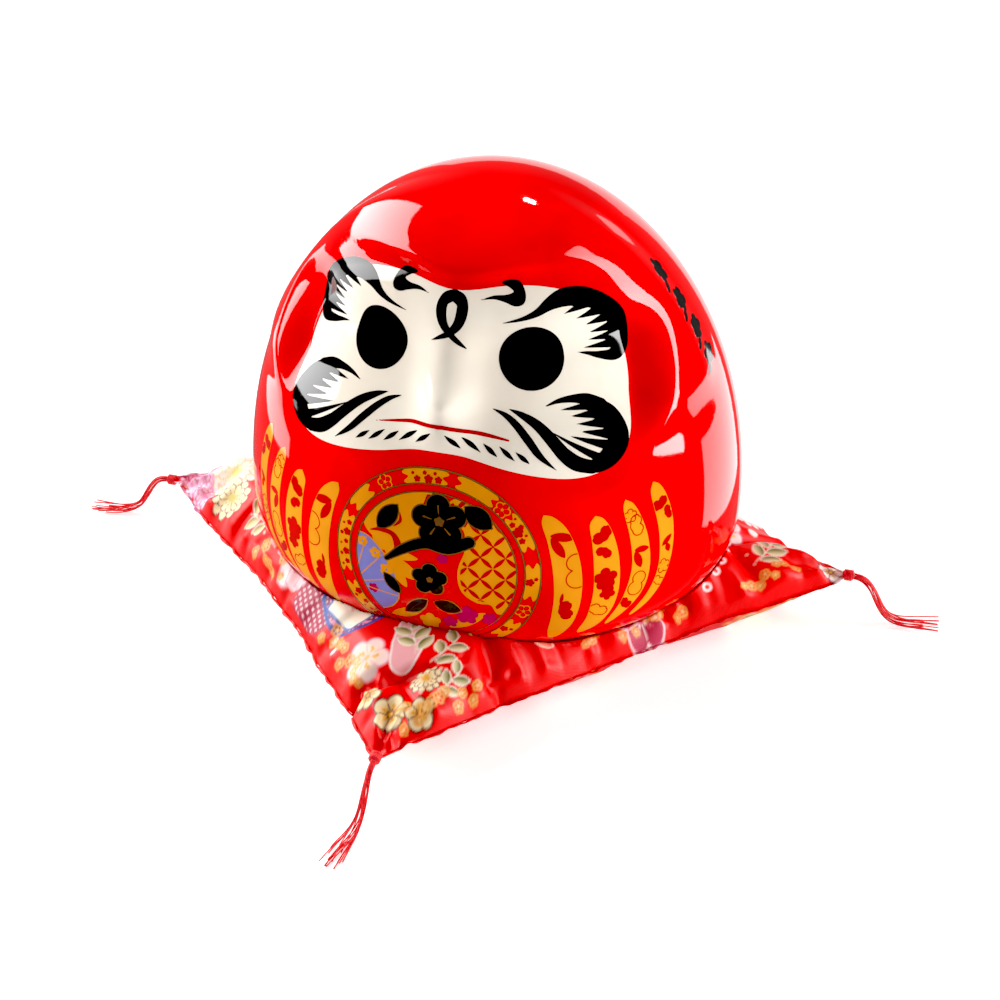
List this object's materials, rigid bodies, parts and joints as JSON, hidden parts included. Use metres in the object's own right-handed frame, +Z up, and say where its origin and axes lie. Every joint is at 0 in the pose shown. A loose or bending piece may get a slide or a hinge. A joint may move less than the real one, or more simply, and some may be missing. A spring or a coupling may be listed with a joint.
{
  "type": "daruma doll on a cushion",
  "caption": "Glazed porcelain daruma doll, hollow with a coin slot and base stopper, sitting on a square padded cushion with a thread tassel at each corner.",
  "frame": {"origin": "on the standing surface, under the middle of the cushion", "axes": "+Z up; the doll faces -Y; +X is to the viewer's right when the doll is seen from the front; the cushion's corners lie along the X and Y axes"},
  "size_m": [0.2575, 0.2575, 0.1295],
  "materials": {
    "porcelain": "gloss glaze",
    "stopper": "matte",
    "print_cloth": "satin weave with a floral print",
    "filling": "soft batting",
    "thread": "sewing thread"
  },
  "bodies": {
    "cushion": {"cushion_top_panel": "print_cloth", "cushion_bottom_panel": "print_cloth", "cushion_filling": "filling", "corner_knot_front": "thread", "corner_knot_right": "thread", "corner_knot_back": "thread", "corner_knot_left": "thread", "tassel_front": "thread", "tassel_right": "thread", "tassel_back": "thread", "tassel_left": "thread"},
    "doll": {"doll_shell": "porcelain"},
    "stopper": {"base_stopper": "stopper"}
  },
  "joints": [
    {"name": "doll_lift", "type": "slide", "parent": "cushion", "child": "doll", "axis": [0, 0, 1], "range_m": [0, 0.1]},
    {"name": "stopper_pull", "type": "slide", "parent": "doll", "child": "stopper", "axis": [0, 0, -1], "range_m": [0, 0.035]}
  ],
  "couplings": [
    {"joint": "stopper_pull", "follows": "doll_lift", "ratio": 0.35}
  ]
}
